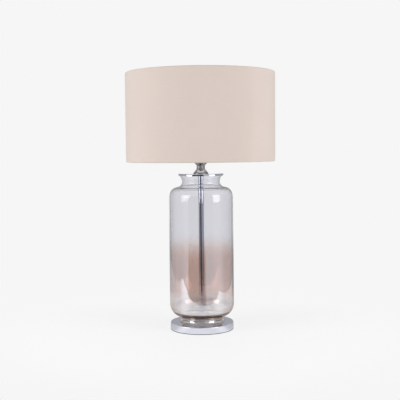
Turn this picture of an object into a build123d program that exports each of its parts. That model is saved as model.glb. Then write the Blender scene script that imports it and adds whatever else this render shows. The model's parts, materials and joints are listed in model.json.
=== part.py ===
from build123d import *
from math import asin, degrees, sqrt
import os

# Table lamp. A blown glass body stands on a weighted chrome base and is closed by a
# chrome lid. One threaded tube runs up the middle, clamps the stack together and carries
# the lampholder with its push-bar switch, the bulb and the drum shade.
# Millimetres, +Z up, origin on the table under the lamp's axis, front towards -Y.

# Base: a pressed chrome shell over an iron weight, on a soft pad
base_height = 16.8
base_inset = 0.6
base_taper = 0.6
base_edge_radius = 1.4
base_sheet = 1.2
rim_lift = 1.5
pad_thickness = 2.0
pad_inset = 1.0
pad_edge_inset = 0.3
weight_gap = 0.6
weight_chamfer = 1.4

# Cable outlet in the base's rear wall
cable_drop = 1.2
cable_bore_radius = 3.1
grommet_wall = 1.1
grommet_flange_width = 1.2
grommet_flange_thickness = 1.4
grommet_edge_radius = 0.5
grommet_fit = 0.15
channel_clearance = 0.5

# Threaded tube, its nuts and bushings
tube_radius = 5.0
tube_wall = 1.1
thread_fit = 0.1
tube_clearance = 0.3
tube_tail = 1.0
nut_across_flats = 14.0
nut_height = 3.4
nut_chamfer = 0.5
washer_radius = 11.0
washer_thickness = 1.2
lock_washer_radius = 8.6
lock_washer_thickness = 0.9
lock_tooth_count = 10
lock_tooth_depth = 1.1
lock_tooth_width = 1.6
bushing_flange_thickness = 0.9
bushing_length = 6.0
bushing_wall = 0.8
bushing_fit = 0.1
pocket_margin = 3.0
pocket_clearance = 0.8

# Chrome sleeve round the threaded tube
sleeve_wall = 0.7

# Glass body
glass_wall = 3.0
glass_radius = 78.0
glass_height = 316.6
glass_lip_round = 0.8
foot_height = 11.8
foot_waist_radius = 49.0
foot_spread = 4.6
foot_fillet = 3.5
foot_undercut = 3.0
neck_radius = 46.2
shoulder_run = 7.8
neck_fillet = 12.0
neck_spread = 7.6
neck_height = 29.4

# Gaskets between glass and metal
gasket_thickness = 1.4
gasket_margin = 0.7
lid_gasket_thickness = 1.6

# Lid
lid_gap = 0.5
lid_sheet = 1.0
lid_skirt = 4.6
lid_edge_radius = 2.2

# Turned neck between the lid and the lampholder
bell_radius = 18.2
bell_height = 11.0
bell_foot_height = 1.0
bell_waist_radius = 10.2
bell_bulge = 0.25
collar_height = 8.6
collar_core_radius = 9.5
collar_bead_count = 2
collar_bead_bulge = 1.0
cup_floor_height = 11.5
cup_wall = 1.5
cup_root_radius = 9.9
cup_edge_radius = 3.0
cup_rim_drop = 1.0
cup_rim_height = 3.2
cup_fit = 0.3

# Lampholder
holder_radius = 18.6
holder_wall = 2.0
holder_floor = 3.0
holder_corner_radius = 3.0
holder_fit = 0.2
spigot_depth = 5.0
spigot_wall = 1.8
seat_flange_width = 2.8
seat_flange_thickness = 3.0
skirt_step = 1.1
skirt_wall = 2.1
skirt_height = 29.0
ledge_height = 5.0
thread_groove_count = 6
thread_groove_depth = 0.6
thread_groove_width = 1.4

# Contact carrier and its metalwork inside the lampholder
carrier_thickness = 8.0
carrier_boss_gap = 1.1
carrier_boss_drop = 10.0
bulb_fit = 0.25
screw_shell_wall = 0.5
screw_shell_height = 17.5
leaf_width = 5.0
leaf_thickness = 0.5
leaf_rise = 2.5
leaf_length = 15.0
leaf_bend_radius = 1.2
leaf_back = 4.0
rivet_radius = 1.0
rivet_head_radius = 1.7
rivet_head_height = 0.6
rivet_depth = 3.0
clamp_length = 6.0
clamp_width = 3.4
clamp_height = 9.0
clamp_gap = 0.3
terminal_screw_radius = 1.2
terminal_head_radius = 1.8
terminal_head_height = 0.9
terminal_slot_width = 0.5

# Push-bar switch
bar_gap = 4.4
bar_width = 5.0
bar_height = 4.6
bar_travel = 5.0
bar_short_end = 3.0
bar_end_round = 1.6
bar_clearance = 0.3
bar_block_length = 20.0
bar_block_width = 8.0
bridge_length = 18.0
bridge_width = 4.0
bridge_thickness = 0.6
bridge_gap = 0.3
contact_width = 3.6
contact_drop = 3.8
contact_foot_length = 4.0

# Shade ring and shade
ring_fit = 0.2
ring_wall = 5.6
ring_height = 7.0
ring_rib_count = 24
ring_rib_depth = 0.7
ring_rib_width = 1.6
shade_radius = 180.0
shade_height = 213.5
shade_recess = 32.4
fabric_thickness = 0.6
fabric_tuck = 10.0
fabric_notch_margin = 1.0
liner_thickness = 0.4
layer_gap = 0.15
hoop_wire_radius = 1.6
hoop_gap = 0.2
carrier_ring_width = 8.6
carrier_ring_thickness = 2.0
carrier_ring_fit = 0.7
arm_count = 3
arm_root_overlap = 1.4
arm_level_length = 18.0
arm_bend_radius = 20.0

# Bulb
bulb_cap_radius = 13.1
bulb_cap_height = 21.0
bulb_contact_radius = 4.6
bulb_contact_height = 1.4
bulb_insulator_height = 4.6
bulb_cap_bevel = 1.7
bulb_collar_radius = 14.2
bulb_collar_height = 34.0
bulb_collar_step = 2.0
bulb_radius = 30.0
bulb_dome_side = 18.5

# One overrun serves every cut that passes through a face
overrun = 1.0

# Radii that pieces share with their neighbours
base_foot_radius = glass_radius - base_inset
base_top_radius = base_foot_radius - base_taper
weight_radius = base_top_radius - base_sheet - weight_gap
pad_radius = weight_radius - pad_inset
pad_edge_radius = base_foot_radius - pad_edge_inset
grommet_neck_radius = cable_bore_radius + grommet_wall
grommet_flange_radius = grommet_neck_radius + grommet_flange_width
tube_bore_radius = tube_radius - tube_wall
tube_hole_radius = tube_radius + tube_clearance
thread_hole_radius = tube_radius + thread_fit
pocket_radius = washer_radius + pocket_margin
sleeve_radius = tube_hole_radius + sleeve_wall
foot_rim_radius = foot_waist_radius + foot_spread
neck_rim_radius = neck_radius + neck_spread
lid_radius = neck_rim_radius + lid_gap + lid_sheet
cup_rim_radius = holder_radius + cup_fit + cup_wall
holder_bore_radius = holder_radius - holder_wall
spigot_radius = holder_bore_radius - holder_fit
ledge_radius = spigot_radius - spigot_wall
skirt_radius = holder_radius + skirt_step
skirt_bore_radius = skirt_radius - skirt_wall
seat_flange_radius = skirt_radius + seat_flange_width
carrier_radius = skirt_bore_radius - holder_fit
carrier_boss_radius = ledge_radius - carrier_boss_gap
screw_shell_radius = bulb_cap_radius + bulb_fit
ring_radius = skirt_radius + ring_fit + ring_wall
carrier_ring_hole_radius = skirt_radius + carrier_ring_fit
carrier_ring_radius = carrier_ring_hole_radius + carrier_ring_width
liner_radius = shade_radius - fabric_thickness - layer_gap
hoop_outer_radius = liner_radius - liner_thickness - layer_gap
hoop_radius = hoop_outer_radius - hoop_wire_radius
fold_radius = hoop_radius - hoop_wire_radius - hoop_gap - fabric_thickness
bulb_insulator_top_radius = bulb_cap_radius - bulb_cap_bevel

# Levels, worked out from the table upwards
weight_top = base_height - base_sheet
cable_height = base_height / 2 - cable_drop
nut_stack = washer_thickness + lock_washer_thickness + nut_height
pocket_depth = nut_stack + tube_tail + bushing_flange_thickness + pocket_clearance
pocket_top = pad_thickness + pocket_depth
base_washer_bottom = pocket_top - washer_thickness
base_lock_bottom = base_washer_bottom - lock_washer_thickness
base_nut_bottom = base_lock_bottom - nut_height
tube_bottom = base_nut_bottom - tube_tail
foot_seat = base_height + gasket_thickness
glass_bottom = foot_seat + foot_height
glass_shoulder = glass_bottom + glass_height
neck_rim_top = glass_shoulder + neck_height
lid_underside = neck_rim_top + lid_gasket_thickness
lid_top = lid_underside + lid_sheet
collar_bottom = lid_top + bell_height
cup_bottom = collar_bottom + collar_height
holder_bottom = cup_bottom + cup_floor_height
locknut_bottom = holder_bottom + holder_floor
tube_top = locknut_bottom + nut_height + tube_tail
bar_level = tube_top + bushing_flange_thickness + bar_gap + bar_height / 2
bridge_bottom = bar_level + bar_height / 2
bridge_top = bridge_bottom + bridge_thickness
carrier_bottom = bridge_top + bridge_gap + contact_drop
ledge_top = carrier_bottom + carrier_boss_drop
carrier_top = ledge_top + carrier_thickness
leaf_top = carrier_top + leaf_rise
cap_top = ledge_top - ledge_height
shade_seat = cap_top + seat_flange_thickness
hoop_rise = fabric_thickness + hoop_gap + hoop_wire_radius
shade_bottom = shade_seat - shade_recess
shade_top = shade_bottom + shade_height
lower_hoop_level = shade_bottom + hoop_rise
upper_hoop_level = shade_top - hoop_rise

os.makedirs("parts", exist_ok=True)


def turned_ring(outer_radius, inner_radius, bottom, height):
    """Flat ring or straight tube on the lamp's axis."""
    with BuildPart() as ring:
        with BuildSketch(Plane.XY.offset(bottom)):
            Circle(outer_radius)
            Circle(inner_radius, mode=Mode.SUBTRACT)
        extrude(amount=height)
    return ring


def hex_nut(bottom):
    """Hexagon nut on the threaded tube, with chamfered corners."""
    with BuildPart() as nut:
        with BuildSketch(Plane.XY.offset(bottom)):
            RegularPolygon(nut_across_flats / 2, 6, major_radius=False)
            Circle(thread_hole_radius, mode=Mode.SUBTRACT)
        extrude(amount=nut_height)
        corner_edges = nut.edges().filter_by(GeomType.LINE).filter_by(Plane.XY)
        chamfer(corner_edges, nut_chamfer)
    return nut


def wall_radius(height):
    """Outside radius of the base's sloping side at a height above the table."""
    share = (height - rim_lift) / (base_height - rim_lift)
    return base_foot_radius + (base_top_radius - base_foot_radius) * share


def flare(waist_radius, waist_height, rim_radius, rim_height):
    """Arc that leaves a waist upright and reaches a rim: its radius and its turn."""
    spread = rim_radius - waist_radius
    rise = abs(rim_height - waist_height)
    arc_radius = (rise**2 + spread**2) / (2 * spread)
    return arc_radius, degrees(asin(rise / arc_radius))


# Soft pad that the lamp stands on, with a thin edge under the shell's rim
with BuildPart() as base_pad:
    with BuildSketch():
        Circle(pad_edge_radius)
    extrude(amount=rim_lift - layer_gap)
    with BuildSketch():
        Circle(pad_radius)
    extrude(amount=pad_thickness)

base_pad.part.label = "base_pad"
export_step(base_pad.part, "parts/base_pad.step")

# Iron weight, with a pocket for the nut and a channel for the cable
channel_half_width = grommet_flange_radius + channel_clearance
channel_top = cable_height + grommet_flange_radius + channel_clearance

with BuildPart() as base_weight:
    with BuildSketch(Plane.XY.offset(pad_thickness)):
        Circle(weight_radius)
    extrude(amount=weight_top - pad_thickness)
    chamfer(base_weight.edges().group_by(Axis.Z)[-1], weight_chamfer)
    with BuildSketch(Plane.XY.offset(pad_thickness)):
        Circle(pocket_radius)
    extrude(amount=pocket_depth, mode=Mode.SUBTRACT)
    with BuildSketch(Plane.XY.offset(pad_thickness)):
        Rectangle(2 * channel_half_width, weight_radius + overrun, align=(Align.CENTER, Align.MIN))
    extrude(amount=channel_top - pad_thickness, mode=Mode.SUBTRACT)
    with Locations((0, 0, weight_top)):
        Hole(tube_hole_radius)

base_weight.part.label = "base_weight"
export_step(base_weight.part, "parts/base_weight.step")

# Chrome shell over the weight, with the cable's hole in its rear wall
with BuildPart() as base_shell:
    with BuildSketch(Plane.XZ):
        with BuildLine():
            FilletPolyline(
                (tube_hole_radius, base_height),
                (base_top_radius, base_height),
                (base_foot_radius, rim_lift),
                radius=base_edge_radius,
            )
            offset(amount=base_sheet, side=Side.RIGHT)
        make_face()
    revolve(axis=Axis.Z)
    with BuildSketch(Plane.XZ):
        with Locations((0, cable_height)):
            Circle(grommet_neck_radius + grommet_fit)
    extrude(amount=-(base_foot_radius + overrun), mode=Mode.SUBTRACT)

base_shell.part.label = "base_shell"
export_step(base_shell.part, "parts/base_shell.step")

# Grommet in the rear wall: a flange on each side of the sheet
flange_outside = wall_radius(cable_height - grommet_flange_radius) + layer_gap
wall_inside = wall_radius(cable_height + grommet_flange_radius) - base_sheet
flange_inside = sqrt(wall_inside**2 - grommet_flange_radius**2) - layer_gap

with BuildPart() as cable_grommet:
    with BuildSketch(Plane.XZ.offset(-(flange_inside - grommet_flange_thickness))):
        with Locations((0, cable_height)):
            Circle(grommet_flange_radius)
    extrude(amount=-grommet_flange_thickness)
    with BuildSketch(Plane.XZ.offset(-flange_inside)):
        with Locations((0, cable_height)):
            Circle(grommet_neck_radius)
    extrude(amount=-(flange_outside - flange_inside))
    with BuildSketch(Plane.XZ.offset(-flange_outside)):
        with Locations((0, cable_height)):
            Circle(grommet_flange_radius)
    extrude(amount=-grommet_flange_thickness)
    fillet(cable_grommet.edges().group_by(Axis.Y)[-1], grommet_edge_radius)
    with BuildSketch(Plane.XZ):
        with Locations((0, cable_height)):
            Circle(cable_bore_radius)
    extrude(amount=-(base_foot_radius + 2 * grommet_flange_thickness), mode=Mode.SUBTRACT)

cable_grommet.part.label = "cable_grommet"
export_step(cable_grommet.part, "parts/cable_grommet.step")

# Washer, toothed lock washer and nut in the weight's pocket
base_washer = turned_ring(washer_radius, tube_hole_radius, base_washer_bottom, washer_thickness)
base_washer.part.label = "base_washer"
export_step(base_washer.part, "parts/base_washer.step")

with BuildPart() as base_lock_washer:
    with BuildSketch(Plane.XY.offset(base_lock_bottom)):
        Circle(lock_washer_radius)
        with PolarLocations(lock_washer_radius, lock_tooth_count):
            Rectangle(2 * lock_tooth_depth, lock_tooth_width, mode=Mode.SUBTRACT)
        Circle(tube_hole_radius, mode=Mode.SUBTRACT)
    extrude(amount=lock_washer_thickness)

base_lock_washer.part.label = "base_lock_washer"
export_step(base_lock_washer.part, "parts/base_lock_washer.step")

base_nut = hex_nut(base_nut_bottom)
base_nut.part.label = "base_nut"
export_step(base_nut.part, "parts/base_nut.step")

# Threaded tube, from the nut under the weight to the nut in the lampholder
threaded_tube = turned_ring(tube_radius, tube_bore_radius, tube_bottom, tube_top - tube_bottom)
threaded_tube.part.label = "threaded_tube"
export_step(threaded_tube.part, "parts/threaded_tube.step")

# Plastic bushings that keep the cable off the tube's two ends
bushing_radius = tube_bore_radius - bushing_fit

with BuildPart() as tube_bushings:
    with BuildSketch(Plane.XY.offset(tube_bottom - bushing_flange_thickness)):
        Circle(tube_radius)
    extrude(amount=bushing_flange_thickness)
    with BuildSketch(Plane.XY.offset(tube_bottom)):
        Circle(bushing_radius)
    extrude(amount=bushing_length)
    with BuildSketch(Plane.XY.offset(tube_top)):
        Circle(tube_radius)
    extrude(amount=bushing_flange_thickness)
    with BuildSketch(Plane.XY.offset(tube_top - bushing_length)):
        Circle(bushing_radius)
    extrude(amount=bushing_length)
    with Locations((0, 0, tube_top)):
        Hole(bushing_radius - bushing_wall)

tube_bushings.part.label = "tube_bushings"
export_step(tube_bushings.part, "parts/tube_bushings.step")

# Chrome sleeve, held between the base and the lid
stem_sleeve = turned_ring(
    sleeve_radius, sleeve_radius - sleeve_wall, base_height, lid_underside - base_height
)
stem_sleeve.part.label = "stem_sleeve"
export_step(stem_sleeve.part, "parts/stem_sleeve.step")

# Glass body: a flared foot, a round bottom, a long straight wall, a round shoulder and a
# flared neck, all with one wall thickness and with both rims ground flat
glass_bottom_round = glass_radius - foot_waist_radius + foot_undercut
glass_shoulder_round = glass_radius - neck_radius - shoulder_run
bottom_centre_x = glass_radius - glass_bottom_round
bottom_centre_z = glass_bottom + glass_bottom_round
fillet_centre_x = foot_waist_radius + foot_fillet
fillet_reach = glass_bottom_round + foot_fillet
fillet_drop = sqrt(fillet_reach**2 - (fillet_centre_x - bottom_centre_x) ** 2)
foot_waist = bottom_centre_z - fillet_drop
fillet_turn = degrees(asin(fillet_drop / fillet_reach))
shoulder_centre_x = glass_radius - glass_shoulder_round
shoulder_centre_z = glass_shoulder - glass_shoulder_round
neck_fillet_x = neck_radius + neck_fillet
neck_fillet_reach = glass_shoulder_round + neck_fillet
neck_fillet_rise = sqrt(neck_fillet_reach**2 - (neck_fillet_x - shoulder_centre_x) ** 2)
neck_waist = shoulder_centre_z + neck_fillet_rise
shoulder_turn = degrees(asin(neck_fillet_rise / neck_fillet_reach))
foot_flare_radius, foot_flare_turn = flare(
    foot_waist_radius, foot_waist, foot_rim_radius, foot_seat
)
neck_flare_radius, neck_flare_turn = flare(
    neck_radius, neck_waist, neck_rim_radius, neck_rim_top
)
foot_grind_turn = degrees(glass_wall / foot_flare_radius)
neck_grind_turn = degrees(glass_wall / neck_flare_radius)

with BuildPart() as glass_body:
    with BuildSketch(Plane.XZ) as glass_section:
        with BuildLine():
            CenterArc(
                (foot_waist_radius + foot_flare_radius, foot_waist),
                foot_flare_radius,
                180 + foot_flare_turn + foot_grind_turn,
                -(foot_flare_turn + foot_grind_turn),
            )
            CenterArc((fillet_centre_x, foot_waist), foot_fillet, 180, -fillet_turn)
            CenterArc(
                (bottom_centre_x, bottom_centre_z), glass_bottom_round, -fillet_turn, fillet_turn
            )
            Line((glass_radius, bottom_centre_z), (glass_radius, shoulder_centre_z))
            CenterArc(
                (shoulder_centre_x, shoulder_centre_z), glass_shoulder_round, 0, shoulder_turn
            )
            CenterArc((neck_fillet_x, neck_waist), neck_fillet, 180 + shoulder_turn, -shoulder_turn)
            CenterArc(
                (neck_radius + neck_flare_radius, neck_waist),
                neck_flare_radius,
                180,
                -(neck_flare_turn + neck_grind_turn),
            )
            offset(amount=glass_wall, side=Side.LEFT)
        make_face()
        with Locations((0, foot_seat)):
            Rectangle(
                2 * glass_radius, glass_bottom, align=(Align.CENTER, Align.MAX), mode=Mode.SUBTRACT
            )
        with Locations((0, neck_rim_top)):
            Rectangle(
                2 * glass_radius, glass_bottom, align=(Align.CENTER, Align.MIN), mode=Mode.SUBTRACT
            )
        rim_corners = glass_section.vertices().group_by(Axis.Y)
        fillet(rim_corners[0] + rim_corners[-1], glass_lip_round)
    revolve(axis=Axis.Z)

glass_body.part.label = "glass_body"
export_step(glass_body.part, "parts/glass_body.step")

# Gaskets between the glass and the metal
gasket_inner_radius = foot_waist_radius - glass_wall
foot_gasket = turned_ring(
    foot_rim_radius + gasket_margin, gasket_inner_radius, base_height, gasket_thickness
)
foot_gasket.part.label = "foot_gasket"
export_step(foot_gasket.part, "parts/foot_gasket.step")

neck_gasket = turned_ring(
    lid_radius - lid_edge_radius, neck_radius, neck_rim_top, lid_gasket_thickness
)
neck_gasket.part.label = "neck_gasket"
export_step(neck_gasket.part, "parts/neck_gasket.step")

# Chrome lid with a rolled edge that hides the glass rim
with BuildPart() as top_lid:
    with BuildSketch(Plane.XZ):
        with BuildLine():
            FilletPolyline(
                (tube_hole_radius, lid_top),
                (lid_radius, lid_top),
                (lid_radius, lid_top - lid_skirt),
                radius=lid_edge_radius,
            )
            offset(amount=lid_sheet, side=Side.RIGHT)
        make_face()
    revolve(axis=Axis.Z)

top_lid.part.label = "top_lid"
export_step(top_lid.part, "parts/top_lid.step")

# Bell that spreads the neck's load over the lid
bell_foot_top = lid_top + bell_foot_height
bell_middle = ((bell_radius + bell_waist_radius) / 2 + bell_bulge, (bell_foot_top + collar_bottom) / 2)

with BuildPart() as neck_bell:
    with BuildSketch(Plane.XZ):
        with BuildLine():
            Line((tube_hole_radius, lid_top), (bell_radius, lid_top))
            Line((bell_radius, lid_top), (bell_radius, bell_foot_top))
            ThreePointArc((bell_radius, bell_foot_top), bell_middle, (bell_waist_radius, collar_bottom))
            Line((bell_waist_radius, collar_bottom), (tube_hole_radius, collar_bottom))
            Line((tube_hole_radius, collar_bottom), (tube_hole_radius, lid_top))
        make_face()
    revolve(axis=Axis.Z)

neck_bell.part.label = "neck_bell"
export_step(neck_bell.part, "parts/neck_bell.step")

# Beaded collar above the bell
bead_height = collar_height / collar_bead_count

with BuildPart() as neck_collar:
    with BuildSketch(Plane.XZ):
        with BuildLine():
            Line((tube_hole_radius, collar_bottom), (collar_core_radius, collar_bottom))
            for bead in range(collar_bead_count):
                bead_bottom = collar_bottom + bead * bead_height
                ThreePointArc(
                    (collar_core_radius, bead_bottom),
                    (collar_core_radius + collar_bead_bulge, bead_bottom + bead_height / 2),
                    (collar_core_radius, bead_bottom + bead_height),
                )
            Line((collar_core_radius, cup_bottom), (tube_hole_radius, cup_bottom))
            Line((tube_hole_radius, cup_bottom), (tube_hole_radius, collar_bottom))
        make_face()
    revolve(axis=Axis.Z)

neck_collar.part.label = "neck_collar"
export_step(neck_collar.part, "parts/neck_collar.step")

# Cup that flares out under the lampholder and holds its foot
cup_rim_top = holder_bottom + cup_rim_height

with BuildPart() as holder_cup:
    with BuildSketch(Plane.XZ):
        with BuildLine():
            Line((tube_hole_radius, cup_bottom), (cup_root_radius, cup_bottom))
            FilletPolyline(
                (cup_root_radius, cup_bottom),
                (cup_rim_radius, holder_bottom - cup_rim_drop),
                (cup_rim_radius, cup_rim_top),
                radius=cup_edge_radius,
            )
            Line((cup_rim_radius, cup_rim_top), (tube_hole_radius, cup_rim_top))
            Line((tube_hole_radius, cup_rim_top), (tube_hole_radius, cup_bottom))
        make_face()
    revolve(axis=Axis.Z)
    with BuildSketch(Plane.XY.offset(holder_bottom)):
        Circle(holder_radius + cup_fit)
    extrude(amount=cup_rim_height + overrun, mode=Mode.SUBTRACT)

holder_cup.part.label = "holder_cup"
export_step(holder_cup.part, "parts/holder_cup.step")

# Lower housing of the lampholder, with a window on each side for the push bar
window_width = bar_width + 2 * bar_clearance
window_height = bar_height + 2 * bar_clearance

with BuildPart() as holder_cap:
    with BuildSketch(Plane.XY.offset(holder_bottom)):
        Circle(holder_radius)
    extrude(amount=cap_top - holder_bottom)
    fillet(holder_cap.edges().group_by(Axis.Z)[0], holder_corner_radius)
    with BuildSketch(Plane.XY.offset(locknut_bottom)):
        Circle(holder_bore_radius)
    extrude(amount=cap_top - locknut_bottom + overrun, mode=Mode.SUBTRACT)
    with BuildSketch(Plane.YZ):
        with Locations((0, bar_level)):
            Rectangle(window_width, window_height)
    extrude(amount=holder_radius + overrun, both=True, mode=Mode.SUBTRACT)
    with Locations((0, 0, locknut_bottom)):
        Hole(thread_hole_radius)

holder_cap.part.label = "holder_cap"
export_step(holder_cap.part, "parts/holder_cap.step")

holder_locknut = hex_nut(locknut_bottom)
holder_locknut.part.label = "holder_locknut"
export_step(holder_locknut.part, "parts/holder_locknut.step")

# Upper housing: a spigot in the cap, a flange for the shade and a grooved skirt
groove_pitch = skirt_height / (thread_groove_count + 1)

with BuildPart() as holder_skirt:
    with BuildSketch(Plane.XY.offset(cap_top - spigot_depth)):
        Circle(spigot_radius)
    extrude(amount=spigot_depth)
    with BuildSketch(Plane.XY.offset(cap_top)):
        Circle(seat_flange_radius)
    extrude(amount=seat_flange_thickness)
    with BuildSketch(Plane.XY.offset(shade_seat)):
        Circle(skirt_radius)
    extrude(amount=skirt_height)
    with BuildSketch(Plane.XY.offset(ledge_top)):
        Circle(skirt_bore_radius)
    extrude(amount=skirt_height, mode=Mode.SUBTRACT)
    for groove in range(thread_groove_count):
        with BuildSketch(Plane.XY.offset(shade_seat + (groove + 1) * groove_pitch)):
            Circle(skirt_radius + overrun)
            Circle(skirt_radius - thread_groove_depth, mode=Mode.SUBTRACT)
        extrude(amount=thread_groove_width, mode=Mode.SUBTRACT)
    with Locations((0, 0, ledge_top)):
        Hole(ledge_radius)

holder_skirt.part.label = "holder_skirt"
export_step(holder_skirt.part, "parts/holder_skirt.step")

# Contact carrier on the skirt's ledge, with a recess on each side for a cable clamp
recess_floor = carrier_boss_radius - clamp_width - clamp_gap
clamp_middle = recess_floor + clamp_gap + clamp_width / 2
rivet_place = -(leaf_length / 2 - leaf_back / 2)

with BuildPart() as contact_carrier:
    with BuildSketch(Plane.XY.offset(ledge_top)):
        Circle(carrier_radius)
    extrude(amount=carrier_thickness)
    with BuildSketch(Plane.XY.offset(carrier_bottom)):
        Circle(carrier_boss_radius)
        with Locations((0, recess_floor + clamp_width), (0, -(recess_floor + clamp_width))):
            Rectangle(clamp_length + 2 * clamp_gap, 2 * clamp_width, mode=Mode.SUBTRACT)
    extrude(amount=carrier_boss_drop)
    with BuildSketch(Plane.XY.offset(carrier_top)):
        with Locations((rivet_place, 0)):
            Circle(rivet_radius)
    extrude(amount=-rivet_depth, mode=Mode.SUBTRACT)

contact_carrier.part.label = "contact_carrier"
export_step(contact_carrier.part, "parts/contact_carrier.step")

# Cable clamps in the carrier's recesses, and their screws
clamp_bottom = ledge_top - clamp_height
clamp_face = clamp_middle + clamp_width / 2
screw_level = ledge_top - clamp_height / 2

with BuildPart() as terminal_clamps:
    with BuildSketch(Plane.XY.offset(clamp_bottom)):
        with Locations((0, clamp_middle), (0, -clamp_middle)):
            Rectangle(clamp_length, clamp_width)
    extrude(amount=clamp_height)
    with BuildSketch(Plane.XZ):
        with Locations((0, screw_level)):
            Circle(terminal_screw_radius + thread_fit)
    extrude(amount=clamp_face + overrun, both=True, mode=Mode.SUBTRACT)

terminal_clamps.part.label = "terminal_clamps"
export_step(terminal_clamps.part, "parts/terminal_clamps.step")

with BuildPart() as terminal_screws:
    for side in (1, -1):
        with BuildSketch(Plane.XZ.offset(side * clamp_face)):
            with Locations((0, screw_level)):
                Circle(terminal_head_radius)
        extrude(amount=side * terminal_head_height)
        with BuildSketch(Plane.XZ.offset(side * clamp_face)):
            with Locations((0, screw_level)):
                Circle(terminal_screw_radius)
        extrude(amount=-side * clamp_width)
        with BuildSketch(Plane.XZ.offset(side * (clamp_face + terminal_head_height))):
            with Locations((0, screw_level)):
                Rectangle(2 * terminal_head_radius, terminal_slot_width)
        extrude(amount=-side * terminal_head_height / 2, mode=Mode.SUBTRACT)

terminal_screws.part.label = "terminal_screws"
export_step(terminal_screws.part, "parts/terminal_screws.step")

# Screw shell that the bulb turns into
screw_shell = turned_ring(
    screw_shell_radius + screw_shell_wall, screw_shell_radius, carrier_top, screw_shell_height
)
screw_shell.part.label = "screw_shell"
export_step(screw_shell.part, "parts/screw_shell.step")

# Centre contact: a leaf spring folded back over itself, riveted to the carrier
with BuildPart() as centre_contact:
    with BuildSketch(Plane.XZ):
        with BuildLine():
            FilletPolyline(
                (-leaf_length / 2, carrier_top),
                (leaf_length / 2, carrier_top),
                (leaf_length / 2, leaf_top),
                (-leaf_length / 2 + leaf_back, leaf_top),
                radius=leaf_bend_radius,
            )
            offset(amount=leaf_thickness, side=Side.LEFT)
        make_face()
    extrude(amount=leaf_width / 2, both=True)
    with BuildSketch(Plane.XY.offset(carrier_top)):
        with Locations((rivet_place, 0)):
            Circle(rivet_radius)
    extrude(amount=leaf_thickness, mode=Mode.SUBTRACT)

centre_contact.part.label = "centre_contact"
export_step(centre_contact.part, "parts/centre_contact.step")

rivet_seat = carrier_top + leaf_thickness

with BuildPart() as contact_rivet:
    with BuildSketch(Plane.XY.offset(rivet_seat)):
        with Locations((rivet_place, 0)):
            Circle(rivet_head_radius)
    extrude(amount=rivet_head_height)
    with BuildSketch(Plane.XY.offset(carrier_top - rivet_depth)):
        with Locations((rivet_place, 0)):
            Circle(rivet_radius)
    extrude(amount=rivet_depth + leaf_thickness)

contact_rivet.part.label = "contact_rivet"
export_step(contact_rivet.part, "parts/contact_rivet.step")

# Push bar of the switch, at its off end: its long end is at -X and it moves towards +X
bar_long_end = bar_short_end + bar_travel
bar_length = 2 * holder_radius + bar_short_end + bar_long_end
bar_middle = (bar_short_end - bar_long_end) / 2

with BuildPart() as switch_bar:
    with BuildSketch(Plane.XY.offset(bar_level - bar_height / 2)):
        with Locations((bar_middle, 0)):
            Rectangle(bar_length, bar_width)
            Rectangle(bar_block_length, bar_block_width)
    extrude(amount=bar_height)
    bar_ends = switch_bar.faces().sort_by(Axis.X)
    fillet(bar_ends[0].edges() + bar_ends[-1].edges(), bar_end_round)

switch_bar.part.label = "switch_bar"
export_step(switch_bar.part, "parts/switch_bar.step")

# Brass bridge that rides on the bar, and the two fixed contacts above it
with BuildPart() as switch_bridge:
    with BuildSketch(Plane.XY.offset(bridge_bottom)):
        with Locations((bar_middle, 0)):
            Rectangle(bridge_length, bridge_width)
    extrude(amount=bridge_thickness)
    fillet(switch_bridge.edges().filter_by(Axis.Z), bridge_thickness)

switch_bridge.part.label = "switch_bridge"
export_step(switch_bridge.part, "parts/switch_bridge.step")

near_contact = bar_middle - bridge_length / 2 + bar_travel + contact_foot_length
far_contact = bar_middle + bridge_length / 2 + bar_travel - bridge_thickness

foot_shift = contact_foot_length / 2

with BuildPart() as switch_contacts:
    with BuildSketch(Plane.XY.offset(bridge_top + bridge_gap)):
        with Locations((near_contact, 0), (far_contact, 0)):
            Rectangle(bridge_thickness, contact_width)
    extrude(amount=carrier_bottom - bridge_top - bridge_gap)
    with BuildSketch(Plane.XY.offset(carrier_bottom)):
        with Locations((near_contact - foot_shift, 0), (far_contact - foot_shift, 0)):
            Rectangle(contact_foot_length + bridge_thickness, contact_width)
    extrude(amount=-bridge_thickness)

switch_contacts.part.label = "switch_contacts"
export_step(switch_contacts.part, "parts/switch_contacts.step")

# Shade carrier: a flat ring, three sloping arms and the shade's lower hoop, welded
carrier_level = shade_seat + carrier_ring_thickness / 2
arm_root = carrier_ring_radius - arm_root_overlap

with BuildPart() as shade_carrier:
    with BuildSketch(Plane.XY.offset(shade_seat)):
        Circle(carrier_ring_radius)
        Circle(carrier_ring_hole_radius, mode=Mode.SUBTRACT)
    extrude(amount=carrier_ring_thickness)
    with BuildSketch(Plane.XZ):
        with Locations((hoop_radius, lower_hoop_level)):
            Circle(hoop_wire_radius)
    revolve(axis=Axis.Z)
    for arm in range(arm_count):
        arm_plane = Plane.XZ.rotated((0, 0, 90 + arm * 360 / arm_count))
        with BuildLine(arm_plane) as arm_path:
            FilletPolyline(
                (arm_root, carrier_level),
                (arm_root + arm_level_length, carrier_level),
                (hoop_radius, lower_hoop_level),
                radius=arm_bend_radius,
            )
        with BuildSketch(Plane(origin=arm_path.line @ 0, z_dir=arm_path.line % 0)):
            Circle(hoop_wire_radius)
        sweep(path=arm_path.line)

shade_carrier.part.label = "shade_carrier"
export_step(shade_carrier.part, "parts/shade_carrier.step")

# Ribbed ring that screws down over the skirt and clamps the carrier
with BuildPart() as shade_ring:
    with BuildSketch(Plane.XY.offset(shade_seat + carrier_ring_thickness)):
        Circle(ring_radius)
        with PolarLocations(ring_radius, ring_rib_count):
            Rectangle(2 * ring_rib_depth, ring_rib_width, mode=Mode.SUBTRACT)
        Circle(skirt_radius + ring_fit, mode=Mode.SUBTRACT)
    extrude(amount=ring_height)

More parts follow.
